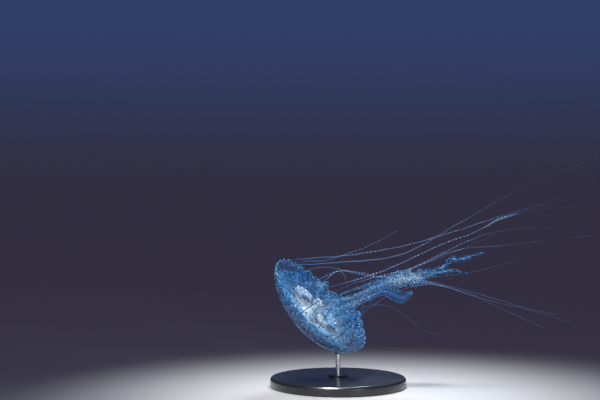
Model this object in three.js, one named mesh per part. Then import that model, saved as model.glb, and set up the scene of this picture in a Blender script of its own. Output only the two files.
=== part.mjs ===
// A jellyfish of the family Pelagiidae at life size, swimming with its mouth turned up and to one side,
// carried by one rod on a round display base. Millimetres, +Z up, origin under the middle of the base.
import * as THREE from 'three';

// ---- Bell: the middle of its mouth, the way the mouth faces, and its size ----
const MOUTH_CENTRE = new THREE.Vector3(-14.6, 0, 70.2);
const MOUTH_RISE = THREE.MathUtils.degToRad(46);
const MOUTH_TURN = THREE.MathUtils.degToRad(19.5);
const BELL_RADIUS = 51.5;
const BELL_DEPTH = 25;
const BELL_SQUEEZE = 0.89;
const BELL_LEAN = 0.32;
const BELL_LEAN_ANGLE = -28;
const BELL_FULLNESS = 1.5;
const BELL_ROUNDNESS = 1.75;
const JELLY_AT_TOP = 10.3;
const JELLY_AT_RIM = 1.3;
const RIM_SHARE = 0.964;
const RIM_FOLDS = [
  { angle: -57, spread: 22, lift: -2.4 },
  { angle: -75, spread: 6.5, lift: -2.8 },
  { angle: -82, spread: 5.5, lift: 2.6 },
  { angle: -92, spread: 9, lift: -4 },
  { angle: -118, spread: 28, lift: 1.8 },
  { angle: -130, spread: 10, lift: 3 },
];

// ---- Lappets: the scalloped fringe, in eight lengths of four lappets each ----
const LAPPET_STRIPS = 8;
const LAPPETS_IN_STRIP = 4;
const LAPPET_CLEFT_HEIGHT = -1.4;
const LAPPET_LENGTH = 2.4;
const LAPPET_ROUNDNESS = 0.6;

// ---- Mouth tube and gonads under the bell ----
const MANUBRIUM_BASE = -13.8;
const MANUBRIUM_END = 2;
const MANUBRIUM_BASE_RADIUS = 7;
const MANUBRIUM_WAIST_RADIUS = 4.4;
const MANUBRIUM_LIP_RADIUS = 5.2;
const GONAD_ANGLES = [45, 135, 225, 315];
const GONAD_HALF_ANGLE = 30;
const GONAD_INNER_SHARE = 0.3;
const GONAD_OUTER_SHARE = 0.56;
const GONAD_EDGE = 0.6;
const GONAD_SWELL = 1.9;

// ---- Tentacles ----
const TENTACLE_ROOT_SHARE = 0.93;
const TENTACLE_ROOT_DROP = 1.9;
const TENTACLE_LEAD = 4.5;
const TENTACLE_THICK = 0.8;
const TENTACLE_THIN = 0.3;
const TENTACLE_STEP_ANGLE = 22.5;

// ---- Oral arms ----
const ARM_ROOT_RADIUS = 3;
const ARM_LEAD_RADIUS = 3.6;
const ARM_LEAD = 4;
const ARM_THICKNESS_LIMIT = 2.2;
const ARM_THICKNESS_SHARE = 0.6;
const ARM_RUFFLE = 0.2;
const ARM_RUFFLES_PER_POINT = 0.8;
const ARM_FRILL = 0.16;

// ---- Stand ----
const BASE_RADIUS = 58;
const BASE_HEIGHT = 8;
const BASE_CHAMFER = 1.5;
const BOSS_RADIUS = 8;
const BOSS_HEIGHT = 2;
const ROD_RADIUS = 2;
const SOCKET_DEPTH = 6;
const SOCKET_CLEARANCE = 0.35;
const PAD_RADIUS = 7;
const PAD_FOOT_RADIUS = 3.6;
const PAD_EDGE = 1.2;

// ---- Clear space left between pieces that meet ----
const GAP = 0.3;

const BELL_AXIS = new THREE.Vector3(
  Math.cos(MOUTH_RISE) * Math.cos(MOUTH_TURN),
  -Math.sin(MOUTH_TURN),
  Math.sin(MOUTH_RISE) * Math.cos(MOUTH_TURN),
);
const BELL_UP = new THREE.Vector3(-Math.sin(MOUTH_RISE), 0, Math.cos(MOUTH_RISE));
const BELL_CROSS = new THREE.Vector3().crossVectors(BELL_AXIS, BELL_UP);

const OUTER_DOME = [BELL_RADIUS, BELL_DEPTH];
const INNER_DOME = [BELL_RADIUS - JELLY_AT_RIM, BELL_DEPTH - JELLY_AT_TOP];

// Routes of the sixteen tentacles, from just beyond the rim to the tip. The first one leaves the rim
// half a step past the bell's upper end, and the others follow round the rim.
const TENTACLE_ROUTES = [
  [[-7, -14, 106], [52, -14, 113], [102, -16, 140], [152, -18, 168], [252, -20, 209]],
  [[-25, -32, 90], [-1, -30, 100], [38, -29, 95], [71, -29, 92], [116, -29, 81], [198, -31, 56]],
  [[-25, -43, 84], [33, -40, 100], [85, -38, 123], [112, -38, 133], [131, -38, 143], [150, -38, 148.5],
    [247, -40, 159]],
  [[8, -49, 90], [60, -46, 104], [95, -45, 118], [131, -45, 122], [228, -48, 133]],
  [[-7, -53, 71], [41, -52, 95], [81, -52, 115], [111, -53, 129], [130, -54, 134], [178, -56, 138]],
  [[3, -45, 51], [33, -44, 77], [70, -43, 90], [99, -43, 84], [168, -46, 54]],
  [[15, -34, 58], [38, -36, 86], [70, -37, 91], [132, -36, 74], [185, -34, 64]],
  [[22, -15, 44], [19, -20, 60], [21, -25, 73], [29, -28, 81]],
  [[23, 7, 43], [17, 3, 50]],
  [[23, 24, 51], [16, 18, 58]],
  [[26, 42, 64], [36, 40, 66], [46, 38, 65], [60, 36, 57], [78, 34, 43], [89, 33, 41]],
  [[39, 46, 83], [74, 42, 89], [119, 38, 95], [173, 35, 109]],
  [[2, 50, 95], [7, 48, 92], [10, 46, 79]],
  [[-6, 42, 99], [21, 38, 93], [43, 34, 91], [81, 30, 104], [144, 28, 131]],
  [[-9, 31, 106], [7, 31, 111], [29, 32, 119], [53, 33, 132]],
  [[-20, 10, 109], [6, 10, 111], [54, 8, 119], [97, 6, 131], [139, 4, 145], [167, 3, 153], [197, 2, 163],
    [241, 0, 172]],
];
const SWOLLEN_TENTACLE = { number: 3, from: 0.63, to: 0.87, extra: 1.0 };

// Routes of the four oral arms as [x, y, z, half width], and the side of the mouth tube each leaves.
const ARMS = [
  {
    side: 0,
    rootHalfWidth: 2.1,
    route: [
      [-4, -4, 76, 2], [9, -8, 82, 1.8], [20, -11, 86, 2.2], [35, -13, 90, 4], [50, -15, 93, 6],
      [67, -16, 96, 5.2], [82, -16, 100, 2.2], [90, -16, 104, 2], [95, -16, 109, 2.6],
      [103, -16, 109, 2.2], [112, -16, 112, 1.8], [123, -16, 115, 0.6],
    ],
  },
  {
    side: 90,
    rootHalfWidth: 2.1,
    route: [
      [-5, -9, 73, 2.4], [15, -15, 79, 2.8], [31, -19, 86, 4], [51, -22, 92, 5.4], [68, -23, 94, 4.6],
      [81, -23, 98, 1.9], [95, -23, 100, 1.5], [107, -23, 98, 0.6],
    ],
  },
  {
    side: 180,
    rootHalfWidth: 2.1,
    route: [
      [-4, -5, 66, 2.3], [10, -9, 70, 2.8], [23, -12, 76, 3.2], [38, -14, 82, 3.6], [47, -15, 79, 4.8],
      [54, -15, 77, 5.4], [62, -14, 82, 1.2],
    ],
  },
  {
    side: 270,
    rootHalfWidth: 2.1,
    route: [
      [-4, 2, 71, 2.4], [17, -3, 77, 2.8], [35, -6, 85, 4.6], [52, -8, 90, 6], [66, -9, 92, 5],
      [75, -9, 88, 1.4],
    ],
  },
];

const JELLY_BLUE = 0x6fa3cf;
const FRINGE_BLUE = 0x5b8fc4;
const TENTACLE_BLUE = 0x86abd0;
const ARM_BLUE = 0x9cc4e2;
const MILKY_WHITE = 0xdfeaf2;

const model = new THREE.Group();

function finish(colour, roughness, metalness = 0) {
  return new THREE.MeshStandardMaterial({ color: colour, roughness, metalness });
}

function addPiece(name, geometry, material) {
  const piece = new THREE.Mesh(geometry, material);
  piece.name = name;
  model.add(piece);
}

// Moves every vertex of a geometry to the place that a function gives it.
function reshape(geometry, place) {
  const positions = geometry.getAttribute('position');
  const vertex = new THREE.Vector3();
  for (let i = 0; i < positions.count; i += 1) {
    vertex.fromBufferAttribute(positions, i);
    const moved = place(vertex.x, vertex.y, vertex.z);
    positions.setXYZ(i, moved.x, moved.y, moved.z);
  }
  geometry.computeVertexNormals();
  return geometry;
}

// A point given by its distance from the bell's axis, its height past the mouth and its angle in degrees.
function bellPlace(radius, height, angle) {
  const turn = THREE.MathUtils.degToRad(angle);
  return MOUTH_CENTRE.clone()
    .addScaledVector(BELL_AXIS, height)
    .addScaledVector(BELL_UP, radius * Math.cos(turn))
    .addScaledVector(BELL_CROSS, radius * Math.sin(turn) * BELL_SQUEEZE);
}

function rimLift(angle) {
  let lift = 0;
  for (const fold of RIM_FOLDS) {
    const away = THREE.MathUtils.euclideanModulo(angle - fold.angle + 180, 360) - 180;
    lift += fold.lift * Math.exp(-((away / fold.spread) ** 2));
  }
  return lift;
}

// How much deeper the dome is on one side than the other, at a share of the radius.
function domeLean(share, angle) {
  const turn = THREE.MathUtils.degToRad(angle - BELL_LEAN_ANGLE);
  return 1 - BELL_LEAN * Math.cos(turn) * share ** 2;
}

// The bell's dome: share runs from 0 at the top of the bell to 1 at the mouth.
function domePlace(radius, depth, share, angle) {
  const fall = Math.max(0, 1 - share ** BELL_FULLNESS) ** (1 / BELL_ROUNDNESS);
  const height = -depth * domeLean(share, angle) * fall + rimLift(angle) * share ** 4;
  return bellPlace(radius * share, height, angle);
}

function outerPlace(share, angle) {
  return domePlace(...OUTER_DOME, share, angle);
}

function innerPlace(share, angle) {
  return domePlace(...INNER_DOME, share, angle);
}

// The bell is turned from a profile whose x is the share of the radius and whose y is 0 outside, 1 inside.
function makeBell() {
  const rings = [0, 0.16, 0.32, 0.48, 0.63, 0.76, 0.87, RIM_SHARE];
  const profile = rings.map((share) => new THREE.Vector2(share, 0));
  for (const share of [...rings].reverse()) {
    profile.push(new THREE.Vector2(share, 1));
  }
  return reshape(new THREE.LatheGeometry(profile, 48), (x, y, z) => {
    const share = Math.hypot(x, z);
    const angle = THREE.MathUtils.radToDeg(Math.atan2(x, z));
    return y < 0.5 ? outerPlace(share, angle) : innerPlace(share, angle);
  });
}

// A point of the fringe that carries on from one side of the rim: reached runs from 0 at the rim to 1
// at the edge, which lies tipHeight past the mouth.
function fringePlace(radius, depth, reached, tipHeight, angle) {
  const lean = domeLean(1, angle);
  const rimFall = (1 - RIM_SHARE ** BELL_FULLNESS) ** (1 / BELL_ROUNDNESS);
  const start = -depth * lean * rimFall + 2 * GAP;
  const height = THREE.MathUtils.lerp(start, tipHeight, reached);
  const fall = Math.max(0, -height / (depth * lean));
  const share = (1 - fall ** BELL_ROUNDNESS) ** (1 / BELL_FULLNESS);
  return bellPlace(radius * share, height + rimLift(angle), angle);
}

function makeLappetStrip(index) {
  const stripAngle = 360 / LAPPET_STRIPS;
  const gapAngle = THREE.MathUtils.radToDeg(GAP / BELL_RADIUS);
  const grid = new THREE.BoxGeometry(1, 1, 1, LAPPETS_IN_STRIP * 4, 2, 1);
  return reshape(grid, (x, y, z) => {
    const angle = index * stripAngle + gapAngle + (x + 0.5) * (stripAngle - 2 * gapAngle);
    const lappetTurn = THREE.MathUtils.degToRad(angle * LAPPET_STRIPS * LAPPETS_IN_STRIP) / 2;
    const scallop = Math.abs(Math.sin(lappetTurn)) ** LAPPET_ROUNDNESS;
    const tipHeight = LAPPET_CLEFT_HEIGHT + LAPPET_LENGTH * scallop;
    const [radius, depth] = z < 0 ? INNER_DOME : OUTER_DOME;
    return fringePlace(radius, depth, y + 0.5, tipHeight, angle);
  });
}

function makeManubrium() {
  return reshape(new THREE.CylinderGeometry(1, 1, 1, 16, 5), (x, y, z) => {
    const along = y + 0.5;
    const waist = Math.sin(Math.PI * along);
    const straight = THREE.MathUtils.lerp(MANUBRIUM_BASE_RADIUS, MANUBRIUM_LIP_RADIUS, along);
    const round = THREE.MathUtils.lerp(straight, MANUBRIUM_WAIST_RADIUS, waist);
    const angle = THREE.MathUtils.radToDeg(Math.atan2(x, z));
    const corners = 1 + 0.12 * along * Math.cos(THREE.MathUtils.degToRad(angle * 4));
    const height = THREE.MathUtils.lerp(MANUBRIUM_BASE, MANUBRIUM_END, along);
    return bellPlace(round * corners * Math.hypot(x, z), height, angle);
  });
}

function makeGonad(middleAngle) {
  return reshape(new THREE.BoxGeometry(1, 1, 1, 8, 4, 1), (x, y, z) => {
    const angle = middleAngle + 2 * x * GONAD_HALF_ANGLE;
    const bow = 0.06 * Math.cos(Math.PI * x);
    const share = THREE.MathUtils.lerp(GONAD_INNER_SHARE, GONAD_OUTER_SHARE, 0.5 - y) + bow;
    const thickness = GONAD_EDGE + GONAD_SWELL * Math.cos(Math.PI * x) * Math.cos(Math.PI * y);
    const rise = GAP * 1.3 + (z + 0.5) * thickness;
    return innerPlace(share, angle).addScaledVector(BELL_AXIS, rise);
  });
}

// A round or flat strand along part of a path. section(x, z, along) gives its offsets at a point of the
// unit circle: first across the path, upwards, and then through it, towards +Y.
function strand(path, from, to, sides, steps, section) {
  const depthwards = new THREE.Vector3(0, 1, 0);
  return reshape(new THREE.CylinderGeometry(1, 1, 1, sides, steps), (x, y, z) => {
    const along = THREE.MathUtils.lerp(from, to, y + 0.5);
    const ahead = path.getTangent(along);
    const across = new THREE.Vector3().crossVectors(ahead, depthwards).normalize();
    const through = new THREE.Vector3().crossVectors(across, ahead);
    const [sideways, deep] = section(x, z, along);
    return path.getPoint(along).addScaledVector(across, sideways).addScaledVector(through, deep);
  });
}

// Half the gap, as a share of the path, where the path is cut in two.
function halfGapShare(path, cut) {
  const step = 0.001;
  const speed = path.getPoint(cut + step).distanceTo(path.getPoint(cut - step)) / (2 * step);
  return GAP / 2 / speed;
}

function addStrandLengths(name, path, sides, steps, section, material) {
  const cut = 0.5;
  const half = halfGapShare(path, cut);
  addPiece(`${name}_near`, strand(path, 0, cut - half, sides, steps, section), material);
  addPiece(`${name}_far`, strand(path, cut + half, 1, sides, steps, section), material);
}

function pathFrom(start, route) {
  const points = route.map(([x, y, z]) => new THREE.Vector3(x, y, z));
  return new THREE.CatmullRomCurve3([...start, ...points], false, 'centripetal');
}

function tentacleSwelling(number, along) {
  const { from, to, extra } = SWOLLEN_TENTACLE;
  const inside = number === SWOLLEN_TENTACLE.number && along > from && along < to;
  return inside ? extra * Math.sin((Math.PI * (along - from)) / (to - from)) : 0;
}

function addTentacle(number, route, material) {
  const angle = (number - 0.5) * TENTACLE_STEP_ANGLE;
  const root = innerPlace(TENTACLE_ROOT_SHARE, angle).addScaledVector(BELL_AXIS, TENTACLE_ROOT_DROP);
  const lead = root.clone().addScaledVector(BELL_AXIS, TENTACLE_LEAD);
  const section = (x, z, along) => {
    const radius = THREE.MathUtils.lerp(TENTACLE_THICK, TENTACLE_THIN, along);
    const swollen = radius + tentacleSwelling(number, along);
    return [x * swollen, z * swollen];
  };
  const steps = 2 + 2 * route.length;
  addStrandLengths(`tentacle_${number}`, pathFrom([root, lead], route), 5, steps, section, material);
}

function halfWidthAt(halfWidths, along) {
  const place = along * (halfWidths.length - 1);
  const before = Math.min(Math.floor(place), halfWidths.length - 2);
  return THREE.MathUtils.lerp(halfWidths[before], halfWidths[before + 1], place - before);
}

function addArm(number, arm, material) {
  const root = bellPlace(ARM_ROOT_RADIUS, MANUBRIUM_END + 2 * GAP, arm.side);
  const lead = bellPlace(ARM_LEAD_RADIUS, MANUBRIUM_END + ARM_LEAD, arm.side);
  const path = pathFrom([root, lead], arm.route);
  const halfWidths = [arm.rootHalfWidth, arm.rootHalfWidth, ...arm.route.map((point) => point[3])];
  const section = (x, z, along) => {
    const width = halfWidthAt(halfWidths, along);
    const phase = 2 * Math.PI * ARM_RUFFLES_PER_POINT * along * halfWidths.length + number;
    const opened = Math.min(1, along * 6);
    const frill = 1 + ARM_FRILL * opened * Math.sin(phase) * Math.sign(x);
    const thick = Math.min(ARM_THICKNESS_LIMIT, width * ARM_THICKNESS_SHARE);
    const ruffle = ARM_RUFFLE * width * opened * x * Math.cos(phase);
    return [x * width * frill, z * thick + ruffle];
  };
  const steps = 2 + arm.route.length;
  addStrandLengths(`arm_${number}`, path, 8, steps, section, material);
}

function makeBase() {
  const socketRadius = ROD_RADIUS + SOCKET_CLEARANCE;
  const bossTop = BASE_HEIGHT + BOSS_HEIGHT;
  const socketFloor = bossTop - SOCKET_DEPTH;
  const profile = [
    [0, 0],
    [BASE_RADIUS, 0],
    [BASE_RADIUS, BASE_HEIGHT - BASE_CHAMFER],
    [BASE_RADIUS - BASE_CHAMFER, BASE_HEIGHT],
    [BOSS_RADIUS + BOSS_HEIGHT / 2, BASE_HEIGHT],
    [BOSS_RADIUS, bossTop],
    [socketRadius, bossTop],
    [socketRadius, socketFloor],
    [0, socketFloor],
  ].map(([radius, height]) => new THREE.Vector2(radius, height));
  return new THREE.LatheGeometry(profile, 36).rotateX(Math.PI / 2);
}

// The share and angle of the point of the bell's outside that lies straight above the origin.
function bellAboveOrigin() {
  let best = { share: 0.5, angle: 180, away: Infinity };
  for (let share = 0.3; share < RIM_SHARE; share += 0.005) {
    for (let angle = 90; angle < 270; angle += 0.5) {
      const place = outerPlace(share, angle);
      const away = Math.hypot(place.x, place.y);
      if (away < best.away && place.z < MOUTH_CENTRE.z) {
        best = { share, angle, away };
      }
    }
  }
  return best;
}

function bellNormal(share, angle) {
  const step = 0.01;
  const outward = outerPlace(share + step, angle).sub(outerPlace(share - step, angle));
  const around = outerPlace(share, angle + 1).sub(outerPlace(share, angle - 1));
  return new THREE.Vector3().crossVectors(around, outward).normalize();
}

// A point of the face that the pad holds under the bell; x and z lie inside the unit circle.
function padFacePlace(x, z, contact) {
  const share = contact.share + (x * PAD_RADIUS) / BELL_RADIUS;
  const turn = (z * PAD_RADIUS) / (BELL_RADIUS * contact.share);
  const angle = contact.angle - THREE.MathUtils.radToDeg(turn);
  return outerPlace(share, angle).addScaledVector(bellNormal(share, angle), GAP);
}

function padFoot(contact) {
  let lowest = Infinity;
  for (let turn = 0; turn < 2 * Math.PI; turn += Math.PI / 16) {
    lowest = Math.min(lowest, padFacePlace(Math.cos(turn), Math.sin(turn), contact).z);
  }
  return lowest - PAD_EDGE;
}

// A flared cup: its face follows the bell, and its foot is level.
function makePad(contact) {
  const foot = padFoot(contact);
  const edge = padFacePlace(1, 0, contact).sub(padFacePlace(0, 0, contact));
  const cup = new THREE.CylinderGeometry(1, 1, 1, 16, 1);
  return reshape(cup, (x, y, z) => {
    const face = padFacePlace(x, z, contact);
    if (y > 0) {
      return face;
    }
    const narrowing = PAD_FOOT_RADIUS / edge.length();
    return new THREE.Vector3(face.x * narrowing, face.y * narrowing, foot);
  });
}

function makeRod(contact) {
  const bottom = BASE_HEIGHT + BOSS_HEIGHT - SOCKET_DEPTH + GAP;
  const top = padFoot(contact) - GAP;
  const rod = new THREE.CylinderGeometry(ROD_RADIUS, ROD_RADIUS, top - bottom, 16);
  return rod.rotateX(Math.PI / 2).translate(0, 0, (top + bottom) / 2);
}

function addStand() {
  const contact = bellAboveOrigin();
  addPiece('stand_base', makeBase(), finish(0x23262b, 0.45));
  addPiece('stand_rod', makeRod(contact), finish(0xb9bec4, 0.3, 0.9));
  addPiece('stand_pad', makePad(contact), finish(0xc9ced3, 0.35, 0.6));
}

function addBell() {
  const jelly = finish(JELLY_BLUE, 0.25);
  addPiece('bell', makeBell(), jelly);
  for (let i = 0; i < LAPPET_STRIPS; i += 1) {
    addPiece(`lappets_${i + 1}`, makeLappetStrip(i), finish(FRINGE_BLUE, 0.3));
  }
  addPiece('manubrium', makeManubrium(), jelly);
  GONAD_ANGLES.forEach((angle, i) => {
    addPiece(`gonad_${i + 1}`, makeGonad(angle), finish(MILKY_WHITE, 0.5));
  });
}

addBell();
ARMS.forEach((arm, i) => addArm(i + 1, arm, finish(ARM_BLUE, 0.35)));
TENTACLE_ROUTES.forEach((route, i) => addTentacle(i + 1, route, finish(TENTACLE_BLUE, 0.35)));
addStand();

export default model;
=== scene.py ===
"""A life-size jellyfish of the family Pelagiidae on a display stand.

Lengths are in millimetres up to build_object(), which writes the meshes in metres. The shapes follow
the same named sizes as the solids of the frame, so every skin lies where its solids do.
"""

import functools
import math

import bpy
import numpy as np
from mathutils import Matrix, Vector


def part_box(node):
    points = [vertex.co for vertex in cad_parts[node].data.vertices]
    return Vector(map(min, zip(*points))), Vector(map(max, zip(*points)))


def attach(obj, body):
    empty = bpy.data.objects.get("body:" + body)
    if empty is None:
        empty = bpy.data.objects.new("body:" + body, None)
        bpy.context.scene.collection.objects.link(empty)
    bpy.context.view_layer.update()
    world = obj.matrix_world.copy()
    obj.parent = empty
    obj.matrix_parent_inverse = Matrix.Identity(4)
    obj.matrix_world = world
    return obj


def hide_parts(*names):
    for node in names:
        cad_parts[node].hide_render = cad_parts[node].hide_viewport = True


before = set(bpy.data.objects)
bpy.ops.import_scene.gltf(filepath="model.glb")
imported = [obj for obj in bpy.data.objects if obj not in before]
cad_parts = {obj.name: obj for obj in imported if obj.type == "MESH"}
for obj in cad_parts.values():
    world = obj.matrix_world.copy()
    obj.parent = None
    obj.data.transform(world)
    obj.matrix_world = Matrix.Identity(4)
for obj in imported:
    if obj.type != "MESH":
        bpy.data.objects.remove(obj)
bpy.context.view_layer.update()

METRES = 0.001

# ---- Bell: the middle of its mouth, the way the mouth faces, and its size ----
MOUTH_CENTRE = np.array([-14.6, 0.0, 70.2])
MOUTH_RISE = math.radians(46)
MOUTH_TURN = math.radians(19.5)
BELL_RADIUS = 51.5
BELL_DEPTH = 25.0
BELL_SQUEEZE = 0.89
BELL_LEAN = 0.32
BELL_LEAN_ANGLE = -28.0
BELL_FULLNESS = 1.5
BELL_ROUNDNESS = 1.75
JELLY_AT_TOP = 10.3
JELLY_AT_RIM = 1.3
RIM_SHARE = 0.964
# Folds of the rim: the middle angle, its spread, and how far the rim rises.
RIM_FOLDS = [
    (-57, 22, -2.4), (-75, 6.5, -2.8), (-82, 5.5, 2.6), (-92, 9, -4.0), (-118, 28, 1.8), (-130, 10, 3.0),
]
LAPPETS = 32
LAPPET_CLEFT_HEIGHT = -1.4
LAPPET_LENGTH = 2.4
LAPPET_ROUNDNESS = 0.6

# ---- The bell's skin: how far its relief stands out, and the details on it ----
FURROW_WIDTH = 0.36
OUTER_FURROW = 0.4
UNDER_FURROW = 0.25
OUTER_FOLDS = 0.2
UNDER_FOLDS = 0.25
LAPPET_SWELL = 0.35
POUCHES = 16
POUCH_HEIGHT = 0.7
RING_MUSCLE_RATE = 130
RING_MUSCLE_HEIGHT = 0.14
WARTS = 520
RHOPALIA = 16
RHOPALIUM_HALF_SIZES = (0.85, 0.5, 0.55)

# ---- Tints of the bell ----
# Patches: the middle angle, its spread, the shares over which the patch comes in, and its strength.
MILK_BELOW = (190, 40, 0.25, 0.45, 0.3)
MILK_HOLLOW = (38, 32, 0.16, 0.28, 0.55)
# The first deep patch, the saturated blue on the upper left of the underside, is painted shade.
DEEP_PATCHES = [(-42, 50, 0.44, 0.6, 1.0), (232, 20, 0.78, 0.9, 0.9), (196, 44, 0.5, 0.72, 0.95)]
PALE_LOBE = (-84, 10, 0.8, 0.92, 1.0)
# Painted shade on the bell's lower side: this patch and the lower rim spot make the dim tint.
DIM_BELOW = (190, 45, 0.45, 0.75, 0.8)
AZURE_PATCH = (30, 42, 0.4, 0.58, 1.0)
# Spots: the middle angle, its spread, the middle share, its spread, and the strength.
MILK_HEART = (318, 36, 0.31, 0.12, 0.9)
# A spot of painted shade on the lower rim.
LOWER_RIM_SHADE = (165, 24, 0.9, 0.07, 0.9)
PALE_RIM_ANGLE = -14
CLEAR_ANGLE = -22
CLEAR_SHARE = 0.922
CLOUDY_ANGLE = 10
PLAIN_RIM_ANGLE = 160

# ---- Mouth tube and gonads ----
MANUBRIUM_BASE = -13.8
MANUBRIUM_END = 2.0
MANUBRIUM_BASE_RADIUS = 7.0
MANUBRIUM_WAIST_RADIUS = 4.4
MANUBRIUM_LIP_RADIUS = 5.2
MANUBRIUM_FLARE = 2.6
GONAD_ANGLES = [45, 135, 225, 315]
# How lit each gonad is painted, as painted shade: below 1 its folds turn blue and the milk under it on the
# bell fades.
GONAD_LIGHTNESS = [0.1, 0.27, 0.28, 1.0]
GONAD_HALF_ANGLE = 30
GONAD_INNER_SHARE = 0.3
GONAD_OUTER_SHARE = 0.56
GONAD_MIDDLE_SHARE = (GONAD_INNER_SHARE + GONAD_OUTER_SHARE) / 2
GONAD_HALF_SHARE = (GONAD_OUTER_SHARE - GONAD_INNER_SHARE) / 2
# Folds side by side in a gonad: the side of its middle, and how thick the fold is.
GONAD_FOLDS = ((-1, 1.35), (0, 1.0), (1, 1.1))
GONAD_FOLD_GAP = 0.048
GONAD_WAVES = 15
GONAD_FINGERS = 30
GONAD_FINGER_RADIUS = 0.46

# ---- Tentacles: the tables go by the tentacle's number, and their lengths are along the strand ----
TENTACLE_ROOT_SHARE = 0.93
TENTACLE_ROOT_DROP = 1.9
TENTACLE_LEAD = 4.5
TENTACLE_THICK = 0.8
TENTACLE_THIN = 0.3
TENTACLE_STEP_ANGLE = 22.5
TENTACLE_STEP = 0.34
TENTACLE_BURIED_STEPS = 8
TENTACLE_SIDES = 9
BEAD_GAP = 2.5
THREAD_SHARE = 0.34
BEAD_SHARE = 0.92
# The near tentacles' roots, seen against the bright underside, are darkened as painted shade up to these
# lengths.
NEAR_TENTACLES = (4, 5, 6, 7)
NEAR_SHADE_FROM = 34
NEAR_SHADE_TO = 22
FAINT_TENTACLES = {9: 0.3, 10: 0.3, 11: 0.5, 12: 0.3, 13: -0.3, 14: 0.2}
FAINT_STARTS = {1: 12, 3: 66, 4: 76, 5: 62, 6: 114, 7: 104, 15: 12, 16: 14}
FAINT_ENDS = (1, 3, 4, 5, 16)
PLAIN_STARTS = {13: 12}
PLAIN_START = 75
SWOLLEN_TENTACLE = 3
SWELLING_FROM = 0.63
SWELLING_TO = 0.87
SWELLING_EXTRA = 1.0

# ---- Oral arms: each tuple has one number for each arm ----
ARM_ROOT_RADIUS = 3.0
ARM_ROOT_HEIGHT = 1.2
ARM_LEAD_RADIUS = 3.6
ARM_LEAD = 4.0
ARM_ROOT_HALF_WIDTH = 2.1
ARM_STEP = 0.3
ARM_WHITENESS = (0.95, 0.8, 0.0, 0.8)
ARM_RUFFLES = (1.0, 1.0, 0.2, 1.0)
ARM_NARROWING = (0.5, 0.65, 1.0, 0.55)
ARM_ROOT_VEIL = (0.2, 0.5, 0.5, 0.3)
ARM_FILM = (0.0, 0.0, 0.03, 0.0)
ARM_SMOOTHNESS = (0.0, 0.0, 0.8, 0.0)
ARM_FINGERS = (150, 130, 4, 150)
TAIL_FINGERS = (80, 50, 0, 0)
BIG_RUFFLE = 7.4
SMALL_RUFFLE = 3.1
TINY_RUFFLE = 1.3
SHIFT_RUFFLE = 4.6
SPIKE_GAP = 2.9
STEM_WIDTH = 0.3
STEM_HALF_THICKNESS = 0.8
FILM_HALF_THICKNESS = 0.12
SECOND_CURTAIN_FROM = 34
SECOND_CURTAIN_WIDTH = 0.6
SECOND_CURTAIN_STRIPS = 40
THICK_HALF_WIDTH = 2.6

# ---- Stand ----
BASE_RADIUS = 58.0
BASE_HEIGHT = 8.0
BASE_CHAMFER = 1.5
BOSS_RADIUS = 8.0
BOSS_HEIGHT = 2.0
ROD_RADIUS = 2.0
SOCKET_DEPTH = 6.0
SOCKET_CLEARANCE = 0.35
PAD_RADIUS = 7.0
PAD_FOOT_RADIUS = 3.6
PAD_SIDES = 64
PAD_WAIST = 0.14
GAP = 0.3
BASE_EDGE_ROUND = 0.45
ROD_EDGE_ROUND = 0.3

# ---- Camera and lamps, in metres: the camera is level, a metre in front of the animal ----
CAMERA_PLACE = (-0.0325, -1.0, 0.1591)
CAMERA_LENS = 70.2
# Spot lamps: name, place, aim, watts, colour, the cone's angle and the lamp's radius.
SPOTS = [
    ("key", (-0.12, -0.18, 0.80), (0.01, -0.06, 0.08), 31.5, (0.93, 0.97, 1.0), 33, 0.10),
    ("rim", (0.14, 0.42, 0.66), (0.02, -0.08, 0.06), 20.0, (0.80, 0.91, 1.0), 37, 0.10),
    ("bounce", (0.32, -0.55, 0.10), (0.0, -0.02, 0.08), 4.5, (0.88, 0.95, 1.0), 24, 0.08),
]
FILL_PLACE = (-0.45, -0.90, 0.16)
FILL_AIM = (0.02, 0.0, 0.08)
FILL_WATTS = 1.3
FILL_COLOUR = (0.88, 0.95, 1.0)
FILL_SIZE = 0.5
FLOOR_REACH = 30.0
# The dusk behind the model: the height of the view's direction, and the colour there.
BACKDROP = [(0.0, (0.0318, 0.0278, 0.0530)), (0.17, (0.029, 0.051, 0.140)), (0.5, (0.051, 0.040, 0.068))]

# ---- Colours ----
DEEP_BLUE = (0.004, 0.042, 0.20)
MID_BLUE = (0.006, 0.13, 0.46)
PALE_BLUE = (0.045, 0.31, 0.68)
ICE_BLUE = (0.18, 0.50, 0.80)
CLEAR_BLUE = (0.035, 0.31, 0.82)
RIM_BLUE = (0.14, 0.49, 0.90)
THREAD_BLUE = (0.28, 0.54, 0.75)
FLECK_BLUE = (0.30, 0.62, 0.94)
BEAD_BLUE = (0.42, 0.56, 0.72)
GONAD_SHADE_BLUE = (0.09, 0.29, 0.52)
MILK_WHITE = (0.72, 0.86, 0.93)
GONAD_WHITE = (0.74, 0.84, 0.90)
TIP_WHITE = (0.82, 0.88, 0.90)
WART_WHITE = (0.62, 0.72, 0.86)
DARK_LINE = (0.004, 0.014, 0.04)
RHOPALIUM_BROWNS = ((0.42, 0.30, 0.24), (0.75, 0.68, 0.62))
LACQUER_BLACKS = ((0.009, 0.010, 0.012), (0.020, 0.021, 0.024))
FELT_BLACKS = ((0.006, 0.007, 0.010), (0.020, 0.022, 0.028))
STEEL_GREYS = ((0.50, 0.51, 0.53), (0.66, 0.67, 0.69))
FLOOR_GREYS = ((0.60, 0.58, 0.57), (0.65, 0.63, 0.62))
JELLY = {"IOR": 1.37, "Coat_Weight": 0.3, "Coat_Roughness": 0.1}

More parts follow.
